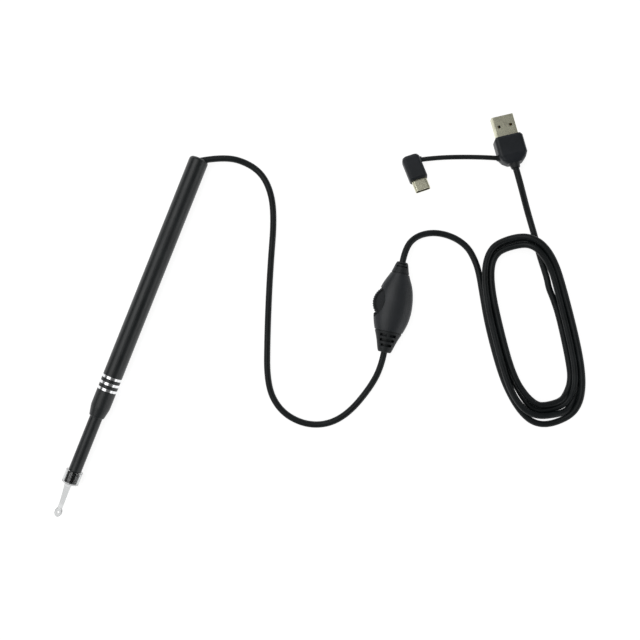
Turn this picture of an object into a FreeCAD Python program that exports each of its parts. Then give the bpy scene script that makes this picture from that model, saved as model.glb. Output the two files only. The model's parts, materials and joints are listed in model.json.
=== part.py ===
"""Ear wax cleaner: a USB ear camera pen with a clear ear pick, a cord with an inline
light dimmer, a loose coil of cord, a USB-A plug and a short branch to a USB-C plug.

Row frame, millimetres: the pen lies on the floor along X with its tip towards +X, the
floor is z = 0, and the origin is under the middle of the pen. The cord and everything
on it lie on the floor on the +Y side.
"""
import FreeCAD, Part
import math
import os

# ---- driving dimensions, millimetres ----------------------------------------------
PEN_LENGTH = 210.0
PEN_R = 5.3
HANDLE_BORE_R = 4.3
CAP_LENGTH = 24.5
CAP_EDGE_R = 2.0
CAP_END_WALL = 4.5
CAP_WALL = 0.85
CAP_CHAMFER = 0.06
WIRE_WAY_R = 1.2
WIRE_WAY_START = (1.6, -0.4)
SPIGOT_R = 4.25
SPIGOT_LENGTH = 6.5
RING_X = (128.6, 132.0, 135.4)
RING_WIDTH = 1.7
RING_CHAMFER = 0.15
RING_SEAT_R = 4.9
NOSE_TAPER_X = 145.6
NOSE_END_X = 151.5
NOSE_END_R = 4.2
NOSE_CHAMFER = 0.4
NOSE_BLEND_R = 12.0
TUBE_R = 3.5
TUBE_BORE_R = 3.0
TUBE_START_X = 131.0
TUBE_END_X = 189.9
TUBE_CHAMFER = 0.2

WINDOW_THICK = 0.6
LED_BOARD_X = (187.6, 188.1)
LED_BOARD_BORE_R = 1.75
LED_SIZE = (0.5, 1.0, 0.7)
LED_CIRCLE_R = 2.35
LED_COUNT = 6
HOLDER_X = (184.2, 185.4, 188.9)
HOLDER_R = (1.2, 1.7, 2.2)
LENS_X = (184.9, 186.4, 187.9)
LENS_R = 1.18
LENS_THICK = 0.8
LENS_CURVE_R = 2.2
SENSOR_SIZE = (0.9, 3.2, 3.2)
SENSOR_X = 183.75
CAMERA_BOARD_SIZE = (13.3, 5.0, 0.8)
CAMERA_BOARD_X = 176.65
CAMERA_CHIPS = {"processor": ((4.0, 3.4, 0.8), (177.5, 0, 0.8)),
                "memory": ((2.4, 1.8, 0.6), (172.6, 0.6, 0.7)),
                "regulator": ((1.6, 1.2, 0.7), (180.5, -0.8, -0.75)),
                "crystal": ((2.0, 1.6, 0.6), (174.0, -0.8, -0.7))}
INNER_LEAD_R = 1.0
INNER_LEAD_END_X = 170.0
ANCHOR_LENGTH = 5.0

PICK_RING_X = (183.2, 190.3)
PICK_RING_R = 4.6
PICK_RING_CHAMFER = (0.15, 0.3)
PICK_CLEARANCE = 0.06
# (x past the ring, height below its top, width, thickness) of the stem's sections
STEM_SECTIONS = ((-1.2, 0.2, 4.2, 0.7), (1.8, 0.6, 3.6, 1.3), (7.2, 2.2, 3.0, 1.2))
STEM_NECK = (2.4, 1.1)
SPOON_WIDTH = 4.1
SPOON_LENGTH = 5.2
SPOON_HALF_THICK = 0.95
SPOON_HEIGHT = 0.2
DISH_R = 2.0
DISH_HEIGHT = 2.35
EYE_R = 0.65

CORD_D = 3.5
BRANCH_D = 2.6
CORD_EXIT_YAW = 123.0
CORD_EXIT_Y = 2.4
CORD_BORE_DEPTH = 3.4
GROMMET_R = 2.12

DIMMER_CENTRE = (-68.95, 127.95, 5.9)
DIMMER_YAW = 10.2
DIMMER_WALL = 1.3
DIMMER_SHELL_X = (-18.5, 13.3)
DIMMER_FLOOR_WALL = 1.2
WHEEL_CENTRE = (-1.8, -2.2)
WHEEL_R = 9.5
WHEEL_THICK = 3.2
WHEEL_GROOVES = 44
WHEEL_GROOVE_DEPTH = 0.35
WHEEL_CHAMFER = 0.7
WHEEL_FACE_RING = (7.4, 8.5, 1.2)
WHEEL_CLEARANCE = (0.5, 0.4)
SHAFT_R = 1.5
SHAFT_CLEARANCE = 0.02
SCREW_HEAD = (1.5, 0.8)
SCREW_SLOT = (2.4, 0.4, 0.4)
SCOOP_R = 11.8
UPPER_SCOOP_Y = -5.4
LOWER_SCOOP_Y = -7.4
POT_R = 3.4
POT_THICK = 0.6
ROTOR_COLLAR = (2.4, 0.5)
BOARD_SIZE = (18.0, 8.0, 0.8)
BOARD_TOP = -2.8
BOARD_PARTS = {"resistor": ((2.0, 1.25, 0.5), (6.5, 1.4)),
               "capacitor": ((2.0, 1.25, 0.5), (6.5, -1.8)),
               "transistor": ((2.0, 1.6, 0.5), (-7.5, 1.4))}

# (x, half width, half height) of the dimmer from its coil end to its pen end
DIMMER_STATIONS = ((-25.0, 2.8, 2.6), (-22.5, 3.8, 3.3), (-19.0, 4.9, 4.0), (-13.0, 7.7, 5.3),
                   (-6.0, 9.6, 6.2), (1.0, 10.2, 6.5), (7.5, 9.5, 6.2), (13.0, 7.8, 5.4),
                   (18.0, 5.8, 4.4), (22.5, 4.4, 3.6), (25.0, 3.4, 3.0))
# (x, length along x, from y, to y) of the slots in the soft ends, the same on both sides
COIL_END_SLOTS = ((-23.8, 0.5, 0.0, 1.7), (-22.3, 0.8, 0.0, 3.0))
PEN_END_SLOTS = ((15.7, 1.5, 0.9, 4.3), (18.4, 1.5, 0.0, 3.9), (21.1, 1.4, 0.0, 2.9))
COIL_END_SLOT_DEPTH = 0.9
PEN_END_SLOT_DEPTH = 1.9
SEAM_GAP = 0.5
SEAM_DEPTH = 0.4
RELIEF_BORE_R = 1.8
RELIEF_END_WALL = 1.0
RELIEF_END_R = 0.8

USB_A_ORIGIN = (-178.15, 151.3, 4.33)
USB_A_YAW = 215.1
USB_A_PITCH = 10.15
USB_A_SHELL = (12.0, 12.0, 4.5)
USB_A_BODY = (15.6, 8.8)
USB_A_BLOCK = 11.0
USB_A_TAIL = ((13.6, 12.8, 7.8), (15.5, 8.8, 6.0))
USB_A_EDGE_R = 1.9
USB_A_SHEET = 0.3
USB_A_INSERT = 6.9
USB_A_WINDOW = (1.5, 3.2, 6.0)
USB_A_TONGUE = (11.1, 1.84)
USB_A_PAD = (8.0, 1.0, 0.12)
USB_A_PAD_Y = (-3.5, -1.0, 1.0, 3.5)
USB_A_NUB = (2.9, 2.35, 2.5)
USB_A_BOSS = (1.7, 4.0, -11.45, 4.6)
USB_A_BRANCH_LEAN = 18.5

USB_C_ORIGIN = (-137.956, 115.21, 7.64)
USB_C_YAW = 40.5
USB_C_PITCH = -20.0
USB_C_SHELL = (6.5, 8.34, 2.56)
USB_C_BODY = (15.2, 10.0, 6.4)
USB_C_EDGE_R = 1.9
USB_C_SHEET = 0.3
USB_C_INSERT = 4.9
USB_C_SLOT = (6.84, 1.2)
USB_C_PAD = (4.4, 0.3, 0.14)
USB_C_PAD_PITCH = 0.75
USB_C_PADS_A_SIDE = 8
USB_C_BOSS = (1.9, 2.0, -11.75, 3.6)
USB_C_BRANCH_LEAN = 12.0
PLUG_PLAY = 0.02

COIL_CENTRE = (-86.8, 202.8)
COIL_YAW = 36.3
COIL_HALF_LENGTH = (44.3, 52.5)
COIL_HALF_WIDTH = (16.4, 21.8)
COIL_ROUNDNESS = (0.60, 0.72)
COIL_SHIFT = 1.05
COIL_SIDES = 48
COIL_CORDS_HIGH = 1.9

PEN_AXIS = FreeCAD.Vector(1, 0, 0)
UP = FreeCAD.Vector(0, 0, 1)


# ---- small helpers ------------------------------------------------------------------
def vec(x, y, z=0.0):
    return FreeCAD.Vector(x, y, z)


def box(size, centre):
    """A box of the given size about its centre."""
    corner = vec(*[c - s / 2 for s, c in zip(size, centre)])
    return Part.makeBox(size[0], size[1], size[2], corner)


def rod(radius, start, end):
    """A cylinder along X about the X axis."""
    return Part.makeCylinder(radius, end - start, vec(start, 0), PEN_AXIS)


def pipe(outer, inner, start, end):
    return rod(outer, start, end).cut(rod(inner, start - 1, end + 1))


def turned(profile):
    """A solid of revolution about X from (x, radius) points."""
    points = [vec(x, 0, r) for x, r in profile]
    wire = Part.makePolygon(points + [points[0]])
    return Part.Face(wire).revolve(vec(0, 0), PEN_AXIS, 360)


def rounded_wire(x, width, height, corner):
    """A rounded rectangle in the plane of the given x."""
    half_w = width / 2
    half_h = height / 2
    edges = []
    for turn in range(4):
        angle = math.radians(90 * turn)
        y_sign = 1 if turn in (0, 3) else -1
        z_sign = 1 if turn in (0, 1) else -1
        cy = y_sign * (half_w - corner)
        cz = z_sign * (half_h - corner)
        arc = [vec(x, cy + corner * math.cos(angle + part), cz + corner * math.sin(angle + part))
               for part in (0, math.pi / 4, math.pi / 2)]
        edges.append(arc)
    path = []
    for this, after in zip(edges, edges[1:] + edges[:1]):
        path.append(Part.Arc(*this).toShape())
        if this[2].distanceToPoint(after[0]) > 1e-6:
            path.append(Part.LineSegment(this[2], after[0]).toShape())
    return Part.Wire(path)


def rounded_bar(width, height, corner, start, end):
    """A bar along X with a rounded rectangular section."""
    face = Part.Face(rounded_wire(start, width, height, corner))
    return face.extrude(vec(end - start, 0))


def lofted_bar(stations):
    """A ruled loft through rounded rectangles (x, width, height, corner)."""
    return Part.makeLoft([rounded_wire(*station) for station in stations], True, True)


def placed(shape, origin, yaw, pitch=0.0):
    result = shape.copy()
    move = FreeCAD.Placement(vec(*origin), FreeCAD.Rotation(yaw, pitch, 0))
    result.Placement = move * shape.Placement
    return result


def on_pen(shape):
    """Moves a shape made from the pen's rear face along X to its place in the row."""
    return placed(shape, (-PEN_LENGTH / 2, 0, PEN_R), 0)


def on_dimmer(shape):
    return placed(shape, DIMMER_CENTRE, DIMMER_YAW)


def on_usb_a(shape):
    return placed(shape, USB_A_ORIGIN, USB_A_YAW, USB_A_PITCH)


def on_usb_c(shape):
    return placed(shape, USB_C_ORIGIN, USB_C_YAW, USB_C_PITCH)


def save(name, shape):
    shape.exportStep("parts/" + name + ".step")


# ---- pen ----------------------------------------------------------------------------
def cord_exit_direction():
    angle = math.radians(CORD_EXIT_YAW)
    return vec(math.cos(angle), math.sin(angle))


def cap_envelope():
    blank = turned([(0, 0), (0, PEN_R), (CAP_LENGTH - CAP_CHAMFER, PEN_R),
                    (CAP_LENGTH, PEN_R - CAP_CHAMFER), (CAP_LENGTH, 0)])
    rear_edges = [edge for edge in blank.Edges
                  if abs(edge.BoundBox.XMax) < 1e-6 and edge.BoundBox.YLength > PEN_R]
    return blank.makeFillet(CAP_EDGE_R, rear_edges)


def angled_bore(radius, depth):
    """The cord's way out of the cap: a cylinder through the rear face, off the pen's axis."""
    out = cord_exit_direction()
    start = vec(0, CORD_EXIT_Y) - out * depth
    return Part.makeCylinder(radius, depth + 12, start, out)


def rear_cap():
    spigot = rod(SPIGOT_R, CAP_LENGTH - 1, CAP_LENGTH + SPIGOT_LENGTH)
    cavity = rod(SPIGOT_R - CAP_WALL, CAP_END_WALL, CAP_LENGTH + SPIGOT_LENGTH + 1)
    wire_way = Part.makeCylinder(WIRE_WAY_R, CAP_END_WALL, vec(*WIRE_WAY_START), PEN_AXIS)
    cap = cap_envelope().fuse(spigot).cut(cavity)
    return cap.cut(angled_bore(GROMMET_R + 0.03, CORD_BORE_DEPTH)).cut(wire_way)


def cord_grommet():
    """A soft sleeve that lines the angled bore, trimmed flush with the cap."""
    sleeve = angled_bore(GROMMET_R, CORD_BORE_DEPTH)
    cord_way = angled_bore(CORD_D / 2 + 0.02, CORD_BORE_DEPTH + 1)
    return sleeve.cut(cord_way).common(cap_envelope())


def handle_tube():
    front = RING_X[2] + RING_WIDTH / 2
    tube = pipe(PEN_R, HANDLE_BORE_R, CAP_LENGTH, front)
    for x in RING_X:
        seat = pipe(PEN_R + 1, RING_SEAT_R, x - RING_WIDTH / 2, x + RING_WIDTH / 2)
        tube = tube.cut(seat)
    return tube


def trim_rings():
    edge = RING_CHAMFER
    rings = []
    for x in RING_X:
        low = x - RING_WIDTH / 2
        high = x + RING_WIDTH / 2
        rings.append(turned([(low, RING_SEAT_R), (low, PEN_R - edge), (low + edge, PEN_R),
                             (high - edge, PEN_R), (high, PEN_R - edge), (high, RING_SEAT_R)]))
    return Part.makeCompound(rings)


def nose_cone():
    shoulder = RING_X[2] + RING_WIDTH / 2
    bore = TUBE_R + 0.02
    blank = turned([(shoulder - SPIGOT_LENGTH, bore), (shoulder - SPIGOT_LENGTH, SPIGOT_R),
                    (shoulder, SPIGOT_R), (shoulder, PEN_R), (NOSE_TAPER_X, PEN_R),
                    (NOSE_END_X - NOSE_CHAMFER, NOSE_END_R),
                    (NOSE_END_X, NOSE_END_R - NOSE_CHAMFER), (NOSE_END_X, bore)])
    corner = [edge for edge in blank.Edges
              if abs(edge.BoundBox.XMax - NOSE_TAPER_X) < 1e-6 and edge.BoundBox.XLength < 1e-6]
    return blank.makeFillet(NOSE_BLEND_R, corner)


def camera_tube():
    bore = TUBE_BORE_R
    return turned([(TUBE_START_X, bore), (TUBE_START_X, TUBE_R),
                   (TUBE_END_X - TUBE_CHAMFER, TUBE_R),
                   (TUBE_END_X, TUBE_R - TUBE_CHAMFER), (TUBE_END_X, bore)])


def front_window():
    return rod(TUBE_BORE_R - 0.02, TUBE_END_X - WINDOW_THICK, TUBE_END_X)


def led_board():
    return pipe(TUBE_BORE_R - 0.05, LED_BOARD_BORE_R, *LED_BOARD_X)


def leds():
    chips = []
    for step in range(LED_COUNT):
        chip = box(LED_SIZE, (LED_BOARD_X[1] + LED_SIZE[0] / 2, 0, LED_CIRCLE_R))
        chip.rotate(vec(0, 0), PEN_AXIS, 360 / LED_COUNT * step)
        chips.append(chip)
    return Part.makeCompound(chips)


def lens_holder():
    back, step, front = HOLDER_X
    bore, barrel, flange = HOLDER_R
    return turned([(back, bore), (back, flange), (step, flange), (step, barrel),
                   (front, barrel), (front, bore)])


def lenses():
    """Three plano-convex glass elements in the holder."""
    elements = []
    for x in LENS_X:
        dome = Part.makeSphere(LENS_CURVE_R, vec(x + LENS_THICK - LENS_CURVE_R, 0))
        elements.append(rod(LENS_R, x, x + LENS_THICK).common(dome))
    return Part.makeCompound(elements)


def image_sensor():
    return box(SENSOR_SIZE, (SENSOR_X, 0, 0))


def camera_board():
    return box(CAMERA_BOARD_SIZE, (CAMERA_BOARD_X, 0, 0))


def camera_chips():
    return Part.makeCompound([box(size, centre) for size, centre in CAMERA_CHIPS.values()])


def inner_lead():
    """The cord's core without its jacket, straight along the handle to the camera board."""
    return rod(INNER_LEAD_R, CAP_END_WALL + 0.2, INNER_LEAD_END_X)


def cord_anchor():
    """A crimped sleeve that holds the core behind the cap's end wall."""
    return pipe(SPIGOT_R - CAP_WALL - 0.05, INNER_LEAD_R, CAP_END_WALL, CAP_END_WALL + ANCHOR_LENGTH)


def pick_ring():
    start, end = PICK_RING_X
    bore = TUBE_R + PICK_CLEARANCE
    rear, front = PICK_RING_CHAMFER
    return turned([(start, bore), (start, PICK_RING_R - rear), (start + rear, PICK_RING_R),
                   (end - front, PICK_RING_R), (end, PICK_RING_R - front), (end, bore)])


def pick_stem():
    """A flat stem that comes off the top of the ring and bends down to the pen's axis."""
    start, end = PICK_RING_X
    bore = TUBE_R + PICK_CLEARANCE
    top = (bore + PICK_RING_R) / 2 - 0.25
    sections = [(end + past, top - below, width, thick)
                for past, below, width, thick in STEM_SECTIONS]
    sections.append((PEN_LENGTH - SPOON_LENGTH + 0.8, 0.3, *STEM_NECK))
    wires = [rounded_wire(x, width, thick, thick * 0.45).translate(vec(0, 0, z))
             for x, z, width, thick in sections]
    return Part.makeLoft(wires, True).cut(rod(bore, start - 1, end + 0.01))


def pick_spoon():
    """A shallow dish with an eye through it."""
    bowl = Part.makeSphere(1.0)
    scale = FreeCAD.Matrix()
    scale.scale(SPOON_LENGTH / 2 + 0.2, SPOON_WIDTH / 2, SPOON_HALF_THICK)
    bowl = bowl.transformGeometry(scale)
    bowl.translate(vec(PEN_LENGTH - SPOON_LENGTH / 2 - 0.2, 0, SPOON_HEIGHT))
    middle = PEN_LENGTH - SPOON_LENGTH / 2
    dish = Part.makeSphere(DISH_R, vec(middle, 0, DISH_HEIGHT))
    eye = Part.makeCylinder(EYE_R, 4, vec(middle, 0, -2), UP)
    return bowl.cut(dish).cut(eye)


def ear_pick():
    """One clear moulding: a ring that slides over the camera tube, a stem and a spoon."""
    return pick_ring().fuse(pick_stem()).fuse(pick_spoon())


# ---- dimmer ---------------------------------------------------------------------------
def dimmer_spindle(inset=0.0, stations=DIMMER_STATIONS):
    """The dimmer's outer form, or that form moved inwards by the inset."""
    wires = []
    for x, half_w, half_h in stations:
        ellipse = Part.Ellipse(vec(0, 0), half_w - inset, half_h - inset - 0.0005)
        edge = ellipse.toShape()
        edge.rotate(vec(0, 0), vec(1, 0), 90)
        edge.rotate(vec(0, 0), UP, 90)
        edge.translate(vec(x, 0))
        wires.append(Part.Wire(edge))
    return Part.makeLoft(wires, True)


def slab(low, high):
    """A slice across the whole dimmer, from one x to another."""
    return box((high - low, 40, 40), ((low + high) / 2, 0, 0))


def above_floor():
    return Part.makeBox(80, 60, 30, vec(-40, -30, -DIMMER_CENTRE[2]))


def scoop(edge_y, wall=0.0):
    """The crescent cut out of the side of a shell, for the finger on the wheel."""
    return Part.makeCylinder(SCOOP_R + wall, 30, vec(WHEEL_CENTRE[0], edge_y - SCOOP_R, -15), UP)


def dimmer_case(scoop_y):
    """Both halves of the case as one hollow form, with the scoop up to the given y."""
    low, high = DIMMER_SHELL_X
    outer = dimmer_spindle().common(slab(low, high)).common(above_floor()).cut(scoop(scoop_y))
    hollow = dimmer_spindle(DIMMER_WALL, DIMMER_STATIONS[1:-1])
    hollow = hollow.common(slab(low + DIMMER_WALL, high - DIMMER_WALL))
    floor_top = DIMMER_FLOOR_WALL - DIMMER_CENTRE[2]
    hollow = hollow.common(Part.makeBox(80, 60, 30, vec(-40, -30, floor_top)))
    hollow = hollow.cut(scoop(scoop_y, DIMMER_WALL))
    around, beside = WHEEL_CLEARANCE
    wheel_slot = Part.makeCylinder(WHEEL_R + around, WHEEL_THICK + 2 * beside,
                                   vec(*WHEEL_CENTRE, -WHEEL_THICK / 2 - beside), UP)
    wire_ways = rod(RELIEF_BORE_R + 0.05, -30, 30)
    return outer.cut(hollow).cut(wheel_slot).cut(wire_ways)


def dimmer_upper_shell():
    return dimmer_case(UPPER_SCOOP_Y).common(Part.makeBox(80, 60, 20, vec(-40, -30, 0)))


def dimmer_lower_shell():
    return dimmer_case(LOWER_SCOOP_Y).common(Part.makeBox(80, 60, 20, vec(-40, -30, -20)))


def wheel_disc():
    """A disc with a chamfer round each edge and grooves all round it for the thumb."""
    low = -WHEEL_THICK / 2
    chamfer = WHEEL_CHAMFER
    outline = Part.makePolygon([vec(0, 0, low), vec(WHEEL_R - chamfer, 0, low),
                                vec(WHEEL_R, 0, low + chamfer), vec(WHEEL_R, 0, -low - chamfer),
                                vec(WHEEL_R - chamfer, 0, -low), vec(0, 0, -low), vec(0, 0, low)])
    disc = Part.Face(outline).revolve(vec(0, 0), UP, 360)
    points = []
    for step in range(2 * WHEEL_GROOVES):
        radius = WHEEL_R + 0.1 if step % 2 else WHEEL_R - WHEEL_GROOVE_DEPTH
        angle = math.pi * step / WHEEL_GROOVES
        points.append(vec(radius * math.cos(angle), radius * math.sin(angle), low))
    star = Part.Face(Part.makePolygon(points + [points[0]])).extrude(UP * WHEEL_THICK)
    return disc.common(star)


def dimmer_wheel():
    """The thumbwheel, with a ring cut into its face and a hub bore for the rotor."""
    inner, outer, depth = WHEEL_FACE_RING
    ring = Part.makeCylinder(outer, depth, vec(0, 0, WHEEL_THICK / 2 - depth), UP)
    ring = ring.cut(Part.makeCylinder(inner, depth, vec(0, 0, WHEEL_THICK / 2 - depth), UP))
    bore = Part.makeCylinder(SHAFT_R + SHAFT_CLEARANCE, 2 * WHEEL_THICK, vec(0, 0, -WHEEL_THICK), UP)
    wheel = wheel_disc().cut(ring).cut(bore)
    wheel.translate(vec(*WHEEL_CENTRE))
    return wheel


def pot_rotor():
    """The shaft and wiper disc that turn with the wheel."""
    collar_r, collar_thick = ROTOR_COLLAR
    foot = vec(*WHEEL_CENTRE, -WHEEL_THICK / 2 - collar_thick - 0.05)
    shaft = Part.makeCylinder(SHAFT_R, WHEEL_THICK / 2 - foot.z, foot, UP)
    return shaft.fuse(Part.makeCylinder(collar_r, collar_thick, foot, UP))


def wheel_screw():
    radius, thick = SCREW_HEAD
    head = Part.makeCylinder(radius, thick, vec(*WHEEL_CENTRE, WHEEL_THICK / 2), UP)
    slot_z = WHEEL_THICK / 2 + thick - SCREW_SLOT[2] / 4
    return head.cut(box(SCREW_SLOT, (*WHEEL_CENTRE, slot_z)))


def pot_base():
    """The disc of resistive track under the wheel."""
    return Part.makeCylinder(POT_R, POT_THICK, vec(*WHEEL_CENTRE, BOARD_TOP), UP)


def dimmer_board():
    return box(BOARD_SIZE, (0, -0.4, BOARD_TOP - BOARD_SIZE[2] / 2))


def dimmer_components():
    """A resistor, a capacitor and a transistor on top of the board."""
    return Part.makeCompound([box(size, (*place, BOARD_TOP + size[2] / 2))
                              for size, place in BOARD_PARTS.values()])


def relief_slot(x, length, inner, outer, depth):
    """A slot in the upper side, down to the given depth, left and right of the middle."""
    across = outer - inner
    middle = (inner + outer) / 2
    slot = box((length, across, 20), (x, middle, 10))
    slot = slot.fuse(box((length, across, 20), (x, -middle, 10)))
    return slot.cut(dimmer_spindle(depth))


def soft_end(low, high, seam, slots, depth):
    """A soft end piece that carries on the dimmer's form, with a seam and slots in it."""
    plug = dimmer_spindle().common(slab(low, high)).common(above_floor())
    far_x = low if seam == high else high
    far_edges = [edge for edge in plug.Edges
                 if abs(edge.CenterOfMass.x - far_x) < 1e-3 and edge.BoundBox.XLength < 1e-3]
    plug = plug.makeFillet(RELIEF_END_R, far_edges)
    plug = plug.cut(slab(seam - SEAM_GAP, seam + SEAM_GAP).cut(dimmer_spindle(SEAM_DEPTH)))
    for slot in slots:
        plug = plug.cut(relief_slot(*slot, depth))
    inside = 25.0 - RELIEF_END_WALL
    return plug.cut(rod(RELIEF_BORE_R, -inside, inside))


def relief_coil_side():
    edge = DIMMER_SHELL_X[0]
    return soft_end(-25.0, edge, edge, COIL_END_SLOTS, COIL_END_SLOT_DEPTH)


def relief_pen_side():
    edge = DIMMER_SHELL_X[1]
    return soft_end(edge, 25.0, edge, PEN_END_SLOTS, PEN_END_SLOT_DEPTH)


# ---- plugs --------------------------------------------------------------------------
def branch_boss(boss, lean):
    """A stub on a plug's +Y side for the branch cord, leaning towards the plug's mouth."""
    radius, length, x, y = boss
    angle = math.radians(lean)
    return Part.makeCylinder(radius, length, vec(x, y), vec(math.sin(angle), math.cos(angle)))


def usb_a_housing():
    width, height = USB_A_BODY
    edge_r = USB_A_EDGE_R
    tail = [(-x, wide, high, edge_r) for x, wide, high in USB_A_TAIL]
    body = lofted_bar([(0, width - 1.6, height - 1.0, 1.4), (-1.2, width, height, edge_r),
                       (-USB_A_BLOCK, width, height, edge_r)] + tail)
    pocket = rounded_bar(USB_A_SHELL[1] + 2 * PLUG_PLAY, USB_A_SHELL[2] + 2 * PLUG_PLAY, 0.6,
                         -USB_A_INSERT - 0.1, 1.0)
    return body.fuse(branch_boss(USB_A_BOSS, USB_A_BRANCH_LEAN)).cut(pocket)


def usb_a_relief():
    """The short nub where the main cord enters the plug."""
    wide, narrow, length = USB_A_NUB
    return Part.makeCone(wide, narrow, length, vec(-USB_A_TAIL[-1][0], 0), vec(-1, 0))


def usb_a_shell():
    length, width, height = USB_A_SHELL
    sheet = USB_A_SHEET
    outer = rounded_bar(width, height, 0.55, -USB_A_INSERT, length)
    inner = rounded_bar(width - 2 * sheet, height - 2 * sheet, 0.3, -USB_A_INSERT - 1, length + 1)
    shell = outer.cut(inner)
    side, y, from_mouth = USB_A_WINDOW
    for sign in (-1, 1):
        shell = shell.cut(box((side, side, 12.0), (length - from_mouth, sign * y, 0)))
    return shell


def usb_a_tongue():
    width, thick = USB_A_TONGUE
    front = USB_A_SHELL[0] - 0.4
    back = -USB_A_INSERT + 0.3
    return box((front - back, width, thick), ((front + back) / 2, 0, -thick / 2 - 0.05))


def usb_a_contacts():
    thick = USB_A_PAD[2]
    return Part.makeCompound([box(USB_A_PAD, (6.6, y, thick / 2 - 0.05)) for y in USB_A_PAD_Y])


def usb_c_housing():
    length, width, height = USB_C_BODY
    edge_r = USB_C_EDGE_R
    body = lofted_bar([(0, width - 0.8, height - 1.2, 1.5), (-0.8, width, height, edge_r),
                       (-length + 2.0, width, height, edge_r),
                       (-length + 0.6, width - 1.2, height - 0.8, edge_r),
                       (-length, width - 3.0, height - 2.2, 1.6)])
    shell_height = USB_C_SHELL[2] + 2 * PLUG_PLAY
    pocket = rounded_bar(USB_C_SHELL[1] + 2 * PLUG_PLAY, shell_height, 1.27,
                         -USB_C_INSERT - 0.1, 1.0)
    return body.fuse(branch_boss(USB_C_BOSS, USB_C_BRANCH_LEAN)).cut(pocket)


def usb_c_shell():
    length, width, height = USB_C_SHELL
    sheet = USB_C_SHEET
    outer = rounded_bar(width, height, 1.25, -USB_C_INSERT, length)
    inner = rounded_bar(width - 2 * sheet, height - 2 * sheet, 0.95, -USB_C_INSERT - 1, length + 1)
    return outer.cut(inner)


def usb_c_insulator():
    """The plastic liner round the plug's slot, open at the mouth."""
    length, width, height = USB_C_SHELL
    play = 2 * (USB_C_SHEET + PLUG_PLAY)
    outer = rounded_bar(width - play, height - play, 0.93, -USB_C_INSERT + 0.1, length - 0.6)
    return outer.cut(rounded_bar(*USB_C_SLOT, 0.55, -1.0, length + 1))


def usb_c_contacts():
    springs = []
    for side in (-1, 1):
        for step in range(USB_C_PADS_A_SIDE):
            y = (step - (USB_C_PADS_A_SIDE - 1) / 2) * USB_C_PAD_PITCH
            springs.append(box(USB_C_PAD, (2.6, y, side * (USB_C_SLOT[1] - USB_C_PAD[2]) / 2)))
    return Part.makeCompound(springs)


# ---- cords --------------------------------------------------------------------------
FLOOR_Z = CORD_D / 2

PEN_TO_DIMMER = ((-103.15, -0.45, 5.3), (-111.3, 12.1, 5.3), (-112.9, 27.3, FLOOR_Z),
                 (-107.5, 38.7, FLOOR_Z), (-93.5, 48.4, FLOOR_Z), (-62.0, 58.2, FLOOR_Z),
                 (-31.5, 68.9, FLOOR_Z), (-4.2, 79.4, FLOOR_Z), (6.6, 91.0, FLOOR_Z),
                 (9.0, 105.6, FLOOR_Z), (4.4, 118.4, FLOOR_Z), (-6.0, 127.1, FLOOR_Z),
                 (-22.5, 132.6, FLOOR_Z), (-35.68, 133.94, 5.9), (-44.35, 132.38, 5.9))

DIMMER_TO_COIL = ((-93.55, 123.52, 5.9), (-101.6, 122.07, 5.9), (-110.0, 125.4, 2.6),
                  (-115.6, 133.4, FLOOR_Z), (-117.3, 143.8, FLOOR_Z), (-115.2, 153.6, FLOOR_Z),
                  (-109.4, 160.6, FLOOR_Z), (-103.6, 165.2, FLOOR_Z))

COIL_TO_USB_A = ((-133.0, 186.7, FLOOR_Z), (-146.2, 176.3, FLOOR_Z), (-156.4, 166.6, 9.1),
                 (-163.65, 161.49, 7.5))

BRANCH = ((-165.125, 150.196, 6.124), (-162.517, 141.597, 5.621),
          (-154.043, 120.354, 4.403), (-149.663, 112.518, 3.763))


def cord_tube(name, route, diameter):
    """Straight runs joined by tangent arcs, each as large as its two runs allow."""
    points = [vec(*point) for point in route]
    edges = []
    radii = []
    start = points[0]
    for before, corner, after in zip(points, points[1:], points[2:]):
        inward = corner - before
        outward = after - corner
        half_turn = inward.getAngle(outward) / 2
        reach = 0.45 * min(inward.Length, outward.Length)
        radii.append(reach / math.tan(half_turn))
        inward.normalize()
        outward.normalize()
        arc_start = corner - inward * reach
        arc_end = corner + outward * reach
        bisector = outward - inward
        bisector.normalize()
        centre_distance = radii[-1] / math.cos(half_turn)
        middle = corner + bisector * (centre_distance - radii[-1])
        edges.append(Part.LineSegment(start, arc_start).toShape())
        edges.append(Part.Arc(arc_start, middle, arc_end).toShape())
        start = arc_end
    edges.append(Part.LineSegment(start, points[-1]).toShape())
    path = Part.Wire(edges)
    section = Part.Wire(Part.makeCircle(diameter / 2, points[0], points[1] - points[0]))
    tube = path.makePipeShell([section], True, False)
    expected = math.pi * diameter ** 2 / 4 * path.Length
    print("%s: length %.1f, volume ratio %.4f, radii %s"
          % (name, path.Length, tube.Volume / expected, [round(radius, 1) for radius in radii]))
    return tube


def coil_outline(side, proud):
    """A closed outline of the coil: side 0 is its inner edge and side 1 its outer edge."""
    half_length = COIL_HALF_LENGTH[side] + proud
    half_width = COIL_HALF_WIDTH[side] + proud
    power = COIL_ROUNDNESS[side]
    shift = COIL_SHIFT * (1 if side else -1)
    yaw = math.radians(COIL_YAW)
    points = []
    for step in range(COIL_SIDES):
        turn = 2 * math.pi * (step + 0.5) / COIL_SIDES
        along = shift + half_length * math.copysign(abs(math.cos(turn)) ** power, math.cos(turn))
        across = half_width * math.copysign(abs(math.sin(turn)) ** power, math.sin(turn))
        points.append(vec(COIL_CENTRE[0] + along * math.cos(yaw) - across * math.sin(yaw),
                          COIL_CENTRE[1] + along * math.sin(yaw) + across * math.cos(yaw)))
    return Part.Face(Part.makePolygon(points + [points[0]]))


def cord_coil():
    """One closed solid of the coil's outer shape, two cords high."""
    ring = coil_outline(1, CORD_D / 2).cut(coil_outline(0, -CORD_D / 2))
    return ring.extrude(UP * COIL_CORDS_HIGH * CORD_D)


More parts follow.
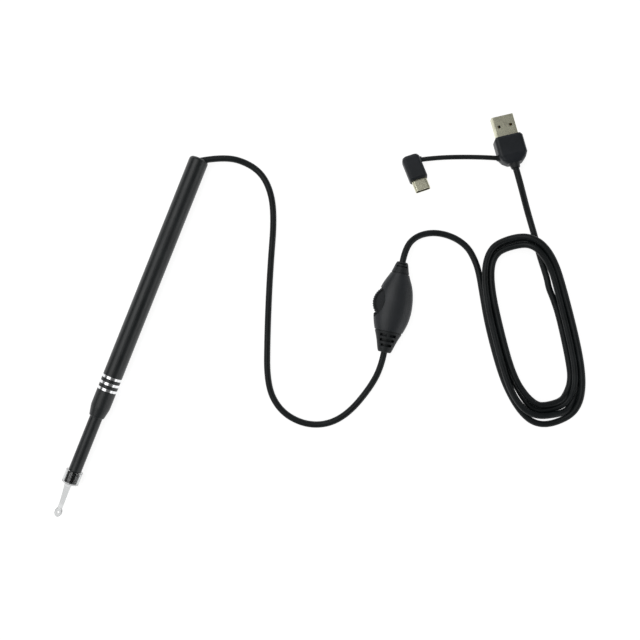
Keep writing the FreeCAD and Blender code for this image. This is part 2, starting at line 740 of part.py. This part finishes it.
# ---- build --------------------------------------------------------------------------
def main():
    os.makedirs("parts", exist_ok=True)
    for make in (rear_cap, cord_grommet, handle_tube, trim_rings, nose_cone, camera_tube,
                 front_window, led_board, leds, lens_holder, lenses, image_sensor,
                 camera_board, camera_chips, inner_lead, cord_anchor, ear_pick):
        save(make.__name__, on_pen(make()))
    for make in (dimmer_upper_shell, dimmer_lower_shell, dimmer_wheel, wheel_screw, pot_rotor,
                 pot_base, dimmer_board, dimmer_components, relief_coil_side, relief_pen_side):
        save(make.__name__, on_dimmer(make()))
    for make in (usb_a_housing, usb_a_relief, usb_a_shell, usb_a_tongue, usb_a_contacts):
        save(make.__name__, on_usb_a(make()))
    for make in (usb_c_housing, usb_c_shell, usb_c_insulator, usb_c_contacts):
        save(make.__name__, on_usb_c(make()))
    save("cord_pen_to_dimmer", cord_tube("cord_pen_to_dimmer", PEN_TO_DIMMER, CORD_D))
    save("cord_dimmer_to_coil", cord_tube("cord_dimmer_to_coil", DIMMER_TO_COIL, CORD_D))
    save("cord_coil", cord_coil())
    save("cord_coil_to_usb_a", cord_tube("cord_coil_to_usb_a", COIL_TO_USB_A, CORD_D))
    save("branch_cord", cord_tube("branch_cord", BRANCH, BRANCH_D))


main()
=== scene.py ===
"""Looks of the ear wax cleaner: a USB ear camera pen with a clear ear pick, its cord with
an inline light dimmer, a loose coil, a USB-A plug and a short branch to a USB-C plug.

Everything is in metres in the row frame: the pen lies along X with its tip towards +X,
the floor is z = 0, and the cord lies on the +Y side.
"""
import bpy
import json
import math
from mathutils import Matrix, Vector


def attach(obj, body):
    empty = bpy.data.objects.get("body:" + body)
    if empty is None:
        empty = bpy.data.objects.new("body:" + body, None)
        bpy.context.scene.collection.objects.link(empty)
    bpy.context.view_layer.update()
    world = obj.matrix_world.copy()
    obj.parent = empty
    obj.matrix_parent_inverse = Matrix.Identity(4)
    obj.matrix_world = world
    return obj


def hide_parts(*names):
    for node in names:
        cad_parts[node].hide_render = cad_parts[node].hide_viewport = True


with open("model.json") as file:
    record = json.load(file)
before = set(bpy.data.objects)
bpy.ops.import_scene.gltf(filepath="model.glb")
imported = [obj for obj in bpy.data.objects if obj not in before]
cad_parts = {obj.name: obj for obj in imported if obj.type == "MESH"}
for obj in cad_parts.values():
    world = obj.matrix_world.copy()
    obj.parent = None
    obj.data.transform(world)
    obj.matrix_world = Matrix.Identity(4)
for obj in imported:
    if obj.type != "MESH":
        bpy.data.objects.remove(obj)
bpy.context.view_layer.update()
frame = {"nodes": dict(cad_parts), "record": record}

MM = 0.001
CORD_D = 3.5 * MM
BRANCH_D = 2.6 * MM
# The height of the cord's middle where it lies on the floor.
FLOOR_Z = CORD_D / 2

# ---- camera, floor and light ------------------------------------------------------------
CAMERA_OVER = (-0.04765, 0.0935)
CAMERA_HEIGHT = 0.4895
CAMERA_ROLL = 111.8
FLOOR_SIZE = 6.0
FLOOR_GREY = 0.30
FLOOR_GLOW = 0.9
# Each light's place, its size and its power in watts.
KEY_LIGHT = ((-0.05, -0.38, 0.90), (1.5, 0.80), 6.0)
FILL_LIGHT = ((-0.05, 1.08, 0.48), (1.5, 0.50), 2.8)
# The room's brightness at the horizon and overhead, and how far up the brightness starts
# and stops falling from the one to the other (0 is level, 1 is straight up).
ROOM_LIGHT = (0.85, 0.12)
ROOM_BLEND = (0.10, 0.24)


def make_camera():
    """Looks straight down, with the pen's tip at the lower left of the picture."""
    data = bpy.data.cameras.new("camera")
    data.lens = 50.0
    data.sensor_width = 36.0
    data.clip_start = 0.01
    camera = bpy.data.objects.new("camera", data)
    camera.location = (*CAMERA_OVER, CAMERA_HEIGHT)
    camera.rotation_euler = (0.0, 0.0, math.radians(CAMERA_ROLL))
    bpy.context.scene.collection.objects.link(camera)
    bpy.context.scene.camera = camera


def make_floor():
    """A pale, evenly lit table top."""
    half = FLOOR_SIZE / 2
    mesh = bpy.data.meshes.new("floor")
    corners = [(-half, -half, 0), (half, -half, 0), (half, half, 0), (-half, half, 0)]
    mesh.from_pydata(corners, [], [(0, 1, 2, 3)])
    floor = bpy.data.objects.new("floor", mesh)
    bpy.context.scene.collection.objects.link(floor)
    material = bpy.data.materials.new("floor_paper")
    material.use_nodes = True
    shader = material.node_tree.nodes["Principled BSDF"]
    shader.inputs["Base Color"].default_value = (FLOOR_GREY, FLOOR_GREY, FLOOR_GREY, 1.0)
    shader.inputs["Roughness"].default_value = 0.9
    shader.inputs["Specular IOR Level"].default_value = 0.0
    shader.inputs["Emission Color"].default_value = (1.0, 1.0, 1.0, 1.0)
    shader.inputs["Emission Strength"].default_value = FLOOR_GLOW
    floor.data.materials.append(material)


def area_light(name, position, size, watts):
    """A rectangular light that aims at the point of the floor under the camera."""
    data = bpy.data.lights.new(name, "AREA")
    data.shape = "RECTANGLE"
    data.size, data.size_y = size
    data.energy = watts
    light = bpy.data.objects.new(name, data)
    light.location = position
    aim = Vector((*CAMERA_OVER, 0.0)) - Vector(position)
    light.rotation_euler = aim.to_track_quat("-Z", "Y").to_euler()
    bpy.context.scene.collection.objects.link(light)


def make_lights():
    """A broad key over the pen's far side, a low fill from the coil's side and a room that
    is bright at the horizon and dim above, which leaves a dark band down the middle of
    anything glossy."""
    area_light("key", *KEY_LIGHT)
    area_light("fill", *FILL_LIGHT)
    world = bpy.data.worlds.new("studio")
    world.use_nodes = True
    tree = world.node_tree
    room = tree.nodes["Background"]
    room.inputs["Color"].default_value = (1.0, 1.0, 1.0, 1.0)
    place = tree.nodes.new("ShaderNodeTexCoord")
    height = tree.nodes.new("ShaderNodeSeparateXYZ")
    tree.links.new(place.outputs["Generated"], height.inputs["Vector"])
    tree.links.new(ramp(tree, height.outputs["Z"], *ROOM_LIGHT, *ROOM_BLEND),
                   room.inputs["Strength"])
    bpy.context.scene.world = world
    bpy.context.scene.view_settings.view_transform = "Standard"


# ---- materials --------------------------------------------------------------------------
# A noise lies mostly between these two values, so colours and gloss change between them.
NOISE_LOW = 0.35
NOISE_HIGH = 0.65
# The sizes of what the noises draw.
MOTTLE = 9 * MM
SMEAR = 22 * MM
METAL_CLOUD = 4 * MM
SCRATCH = 0.35 * MM
RIPPLE = 1.6 * MM
HAZE = 0.5 * MM
TRACK = 0.9 * MM
# How a noise is squeezed along X, Y and Z: on a wiped moulding, a turned part, a drawn
# sheet and a board's tracks.
WIPED = (1.0, 1.4, 1.0)
TURNED = (6.0, 0.05, 0.05)
DRAWN = (0.2, 4.0, 4.0)
TRACKS = (1.0, 3.0, 1.0)


def new_material(name):
    """A material, its node tree and its shader."""
    material = bpy.data.materials.new(name)
    material.use_nodes = True
    return material, material.node_tree, material.node_tree.nodes["Principled BSDF"]


def grain(tree, cell, detail, stretch=(1.0, 1.0, 1.0)):
    """A noise whose cells are about the given size, in metres, fixed to the piece."""
    place = tree.nodes.new("ShaderNodeTexCoord")
    mapping = tree.nodes.new("ShaderNodeMapping")
    mapping.inputs["Scale"].default_value = stretch
    noise = tree.nodes.new("ShaderNodeTexNoise")
    noise.inputs["Scale"].default_value = 1 / cell
    noise.inputs["Detail"].default_value = detail
    tree.links.new(place.outputs["Object"], mapping.inputs["Vector"])
    tree.links.new(mapping.outputs["Vector"], noise.inputs["Vector"])
    return noise.outputs["Fac"]


def ramp(tree, source, low, high, start=NOISE_LOW, end=NOISE_HIGH):
    """A value from low to high as the source goes from start to end."""
    span = tree.nodes.new("ShaderNodeMapRange")
    span.inputs["From Min"].default_value = start
    span.inputs["From Max"].default_value = end
    span.inputs["To Min"].default_value = low
    span.inputs["To Max"].default_value = high
    tree.links.new(source, span.inputs["Value"])
    return span.outputs["Result"]


def two_colours(tree, source, dark, light):
    """A colour from dark to light as the noise goes from low to high."""
    blend = tree.nodes.new("ShaderNodeValToRGB")
    blend.color_ramp.elements[0].position = NOISE_LOW
    blend.color_ramp.elements[0].color = (*dark, 1.0)
    blend.color_ramp.elements[1].position = NOISE_HIGH
    blend.color_ramp.elements[1].color = (*light, 1.0)
    tree.links.new(source, blend.inputs["Fac"])
    return blend.outputs["Color"]


def bump(tree, source, depth, below=None):
    """Surface relief of the given depth, in metres, on top of another one."""
    relief = tree.nodes.new("ShaderNodeBump")
    relief.inputs["Distance"].default_value = depth
    tree.links.new(source, relief.inputs["Height"])
    if below is not None:
        tree.links.new(below, relief.inputs["Normal"])
    return relief.outputs["Normal"]


def moulded(name, dark, light, roughness, grain_size, grain_depth, specular=0.5):
    """Moulded plastic or rubber: a slight mottle, a fine grain and an uneven gloss."""
    material, tree, shader = new_material(name)
    mottle = grain(tree, MOTTLE, 4.0)
    fine = grain(tree, grain_size, 2.0)
    smears = grain(tree, SMEAR, 6.0, WIPED)
    tree.links.new(two_colours(tree, mottle, dark, light), shader.inputs["Base Color"])
    gloss = ramp(tree, smears, roughness - 0.05, roughness + 0.06)
    tree.links.new(gloss, shader.inputs["Roughness"])
    waves = bump(tree, mottle, grain_depth * 2)
    tree.links.new(bump(tree, fine, grain_depth, waves), shader.inputs["Normal"])
    shader.inputs["Specular IOR Level"].default_value = specular
    return material


def metal(name, dark, light, roughness, stretch, scratch_depth=0.0015 * MM):
    """Bare or plated metal with fine drawn scratches along one direction."""
    material, tree, shader = new_material(name)
    clouds = grain(tree, METAL_CLOUD, 4.0)
    scratches = grain(tree, SCRATCH, 3.0, stretch)
    tree.links.new(two_colours(tree, clouds, dark, light), shader.inputs["Base Color"])
    tree.links.new(ramp(tree, scratches, roughness - 0.05, roughness + 0.08),
                   shader.inputs["Roughness"])
    tree.links.new(bump(tree, scratches, scratch_depth), shader.inputs["Normal"])
    shader.inputs["Metallic"].default_value = 1.0
    return material


def clear(name, tint, ior, roughness):
    """Clear plastic or glass, faintly tinted, with the ripples of a moulding."""
    material, tree, shader = new_material(name)
    ripples = grain(tree, RIPPLE, 2.0)
    haze = grain(tree, HAZE, 3.0)
    shader.inputs["Base Color"].default_value = (*tint, 1.0)
    shader.inputs["Transmission Weight"].default_value = 1.0
    shader.inputs["IOR"].default_value = ior
    tree.links.new(ramp(tree, haze, roughness, roughness + 0.02), shader.inputs["Roughness"])
    tree.links.new(bump(tree, ripples, 0.002 * MM), shader.inputs["Normal"])
    return material


def circuit_board(name):
    """Green solder mask over lighter and darker tracks."""
    material, tree, shader = new_material(name)
    tracks = grain(tree, TRACK, 0.0, TRACKS)
    tree.links.new(two_colours(tree, tracks, (0.012, 0.09, 0.04), (0.03, 0.17, 0.08)),
                   shader.inputs["Base Color"])
    tree.links.new(bump(tree, tracks, 0.02 * MM), shader.inputs["Normal"])
    shader.inputs["Roughness"].default_value = 0.28
    return material


def make_materials():
    """One material for each of the record's material slots."""
    return {
        "pen_black": moulded("pen_soft_touch", (0.007, 0.009, 0.010), (0.012, 0.015, 0.016),
                             0.37, 0.22 * MM, 0.008 * MM),
        "silver_ring": metal("polished_ring", (0.82, 0.83, 0.84), (0.90, 0.91, 0.92),
                             0.17, TURNED, 0.0002 * MM),
        "clear_plastic": clear("clear_pick", (0.63, 0.64, 0.64), 1.49, 0.05),
        "lens_glass": clear("lens_glass", (0.80, 0.86, 0.95), 1.52, 0.01),
        "soft_black": moulded("soft_pvc", (0.008, 0.010, 0.011), (0.013, 0.016, 0.018),
                              0.50, 0.30 * MM, 0.012 * MM, 0.4),
        "cord_black": moulded("cord_jacket", (0.005, 0.007, 0.0075), (0.010, 0.013, 0.014),
                              0.46, 0.35 * MM, 0.012 * MM, 0.25),
        "dimmer_black": moulded("dimmer_case", (0.012, 0.015, 0.018), (0.018, 0.021, 0.025),
                                0.46, 0.28 * MM, 0.010 * MM),
        "plug_black": moulded("plug_moulding", (0.006, 0.009, 0.012), (0.011, 0.014, 0.019),
                              0.42, 0.26 * MM, 0.012 * MM, 0.42),
        "plug_metal": metal("nickel_shell", (0.62, 0.61, 0.47), (0.76, 0.75, 0.58),
                            0.30, DRAWN),
        "contact_gold": metal("gold_contact", (0.72, 0.50, 0.20), (0.85, 0.64, 0.30),
                              0.22, DRAWN),
        "insulator": moulded("insulator", (0.016, 0.016, 0.017), (0.026, 0.026, 0.028),
                             0.50, 0.20 * MM, 0.006 * MM),
        "circuit_green": circuit_board("solder_mask"),
        "chip_black": moulded("chip_epoxy", (0.016, 0.016, 0.016), (0.030, 0.030, 0.030),
                              0.55, 0.08 * MM, 0.004 * MM),
        "led_yellow": moulded("led_phosphor", (0.82, 0.70, 0.28), (0.92, 0.84, 0.45),
                              0.35, 0.10 * MM, 0.004 * MM),
        "screw_steel": metal("zinc_steel", (0.46, 0.46, 0.48), (0.60, 0.60, 0.61),
                             0.34, TURNED),
    }


def dress_cad_nodes(materials):
    """Gives every CAD node the material of its slot."""
    for row in frame["record"]["subparts"]:
        node = frame["nodes"][row["node"]]
        node.data.materials.clear()
        node.data.materials.append(materials[row["material_slot"]])


# ---- cords ------------------------------------------------------------------------------
# The stretches that aren't coiled, each from one end to the other.
PEN_TO_DIMMER = ((-0.10315, -0.00045, 0.0053), (-0.1113, 0.0121, 0.0053),
                 (-0.1129, 0.0273, FLOOR_Z), (-0.1075, 0.0387, FLOOR_Z),
                 (-0.0935, 0.0484, FLOOR_Z), (-0.0620, 0.0582, FLOOR_Z),
                 (-0.0315, 0.0689, FLOOR_Z), (-0.0042, 0.0794, FLOOR_Z),
                 (0.0066, 0.0910, FLOOR_Z), (0.0090, 0.1056, FLOOR_Z),
                 (0.0044, 0.1184, FLOOR_Z), (-0.0060, 0.1271, FLOOR_Z),
                 (-0.0225, 0.1326, FLOOR_Z), (-0.03568, 0.13394, 0.0059),
                 (-0.04435, 0.13238, 0.0059))

DIMMER_TO_COIL = ((-0.09355, 0.12352, 0.0059), (-0.1016, 0.12207, 0.0059),
                  (-0.1100, 0.1254, 0.0026), (-0.1156, 0.1334, FLOOR_Z),
                  (-0.1173, 0.1438, FLOOR_Z), (-0.1152, 0.1536, FLOOR_Z),
                  (-0.1094, 0.1606, FLOOR_Z), (-0.1036, 0.1652, FLOOR_Z))

COIL_TO_USB_A = ((-0.0975, 0.2152, FLOOR_Z), (-0.10635, 0.20774, FLOOR_Z),
                 (-0.11056, 0.20351, FLOOR_Z), (-0.11532, 0.2006, FLOOR_Z),
                 (-0.1258, 0.1918, FLOOR_Z), (-0.1330, 0.1867, FLOOR_Z),
                 (-0.1462, 0.1763, FLOOR_Z), (-0.1564, 0.1666, 0.0091),
                 (-0.16365, 0.16149, 0.0075))

BRANCH = ((-0.165125, 0.150196, 0.006124), (-0.162517, 0.141597, 0.005621),
          (-0.154043, 0.120354, 0.004403), (-0.149663, 0.112518, 0.003763))

# The coil is an oval that shrinks from its outer turn to its inner one: (inner, outer).
# Turns are counted from the middle of the side that faces the dimmer. A roundness of 1 is
# an ellipse, and less is squarer.
COIL_CENTRE = (-0.0868, 0.2028)
COIL_YAW = math.radians(36.3)
HALF_LENGTH = (43.7 * MM, 52.7 * MM)
HALF_WIDTH = (16.5 * MM, 22.2 * MM)
ROUNDNESS = (0.60, 0.72)
SHIFT_ALONG = (-1.05 * MM, 1.05 * MM)
SHIFT_ACROSS = (0.1 * MM, -0.3 * MM)
COIL_TURNS = (-0.06, 3.42)
POINTS_A_TURN = 20
SHRINKS_FROM = 0.25
SHRINKS_OVER = 3
# Strands that lie over each other are this far apart, from middle to middle.
STRAND_PITCH = 3.6 * MM
# Where every other turn climbs onto its neighbours, and how long the climb is, in turns.
LEVEL_CHANGE = 0.31
LEVEL_EASE = 0.04
# Where each turn rises over the cord's way out, and half the length of the rise, in turns.
HUMP_AT = 0.645
HUMP_HALF_WIDTH = 0.15
# Where the loose turns leave the oval: (turn, half width in turns, outwards in mm).
LOOSENESS = ((0.03, 0.10, 0.6), (0.17, 0.05, 0.5), (0.235, 0.06, 0.3), (0.565, 0.07, 0.4),
             (0.62, 0.10, 0.9),
             (1.03, 0.10, 0.6), (1.085, 0.06, 0.9), (1.14, 0.06, 0.5), (1.215, 0.06, -1.9),
             (1.262, 0.045, 0.8), (1.31, 0.05, -0.6), (1.565, 0.07, 0.5), (1.62, 0.10, 0.5),
             (2.03, 0.10, 0.6), (2.095, 0.07, -1.7), (2.14, 0.07, -0.4), (2.33, 0.05, -0.5),
             (2.565, 0.07, 0.8), (2.62, 0.10, 0.2),
             (3.03, 0.10, 0.6), (3.15, 0.08, -0.8), (3.25, 0.07, 0.8), (3.33, 0.06, -0.5))
# How far to both sides of a point, in turns, the cord's direction is measured.
NUDGE = 0.005


def between(pair, share):
    """From the outer value of a pair, at share 0, to the inner one, at share 1."""
    return pair[1] + (pair[0] - pair[1]) * share


def signed_power(value, power):
    """A power that keeps the sign of its value."""
    return math.copysign(abs(value) ** power, value)


def oval(turn):
    """A point of the shrinking oval in the coil's own plane."""
    share = max(0.0, (turn - SHRINKS_FROM) / SHRINKS_OVER)
    angle = 2 * math.pi * turn
    power = between(ROUNDNESS, share)
    along = between(SHIFT_ALONG, share)
    along += between(HALF_LENGTH, share) * signed_power(math.sin(angle), power)
    across = between(SHIFT_ACROSS, share)
    across -= between(HALF_WIDTH, share) * signed_power(math.cos(angle), power)
    return Vector((along, across))


def outwards(turn):
    """The direction square to the oval that points away from its middle."""
    step = oval(turn + NUDGE) - oval(turn - NUDGE)
    normal = Vector((step.y, -step.x)).normalized()
    return normal if normal.dot(oval(turn)) > 0 else -normal


def window(distance, half_width):
    """1 in the middle of a window, falling smoothly to 0 at its edges."""
    return math.cos(math.pi / 2 * min(1.0, abs(distance) / half_width)) ** 2


def coil_plan(turn):
    """A point of the loose coil in its own plane."""
    point = oval(turn)
    for at, half_width, out in LOOSENESS:
        point = point + outwards(turn) * out * MM * window(turn - at, half_width)
    return point


def gap_beside(turn):
    """How far the strands one turn in and one turn out are, across the cord."""
    here = coil_plan(turn)
    away = outwards(turn)
    return min(abs((here - coil_plan(turn - 1)).dot(away)),
               abs((coil_plan(turn + 1) - here).dot(away)))


def coil_height(turn):
    """Every other turn lies in the grooves between its neighbours, and all of them rise
    over the cord's way out."""
    height = FLOOR_Z
    if math.floor(turn + 1 - LEVEL_CHANGE) % 2:
        past_change = (turn - LEVEL_CHANGE) % 1.0
        ease = min(1.0, min(past_change, 1 - past_change) / LEVEL_EASE)
        height += ease * math.sqrt(max(0.0, STRAND_PITCH ** 2 - gap_beside(turn) ** 2))
    return height + STRAND_PITCH * window(turn % 1.0 - HUMP_AT, HUMP_HALF_WIDTH)


def coil_points():
    """The coil's route in the row frame, from its first turn to its last."""
    first, last = COIL_TURNS
    steps = round((last - first) * POINTS_A_TURN)
    points = []
    for step in range(steps + 1):
        turn = first + (last - first) * step / steps
        along, across = coil_plan(turn)
        points.append((COIL_CENTRE[0] + along * math.cos(COIL_YAW) - across * math.sin(COIL_YAW),
                       COIL_CENTRE[1] + along * math.sin(COIL_YAW) + across * math.cos(COIL_YAW),
                       coil_height(turn)))
    return tuple(points)


def make_cord(name, points, diameter, jacket):
    """A round cord along one smooth spline through the route's control points."""
    curve = bpy.data.curves.new(name, "CURVE")
    curve.dimensions = "3D"
    curve.bevel_depth = diameter / 2
    curve.bevel_resolution = 6
    curve.resolution_u = 8
    curve.use_fill_caps = True
    spline = curve.splines.new("NURBS")
    spline.points.add(len(points) - 1)
    for point, place in zip(spline.points, points):
        point.co = (*place, 1.0)
    spline.order_u = 3
    spline.use_endpoint_u = True
    cord = bpy.data.objects.new(name, curve)
    bpy.context.scene.collection.objects.link(cord)
    curve.materials.append(jacket)
    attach(cord, "pen_and_cord")
    return cord


def make_cords(jacket):
    """The three cords, which take the place of the CAD's own cords."""
    pen_cord = make_cord("pen_cord", PEN_TO_DIMMER, CORD_D, jacket)
    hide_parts("cord_pen_to_dimmer")
    coil_cord = make_cord("coil_cord", DIMMER_TO_COIL + coil_points() + COIL_TO_USB_A,
                          CORD_D, jacket)
    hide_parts("cord_dimmer_to_coil", "cord_coil", "cord_coil_to_usb_a")
    branch = make_cord("branch_lead", BRANCH, BRANCH_D, jacket)
    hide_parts("branch_cord")


make_camera()
make_floor()
make_lights()
materials = make_materials()
dress_cad_nodes(materials)
make_cords(materials["cord_black"])
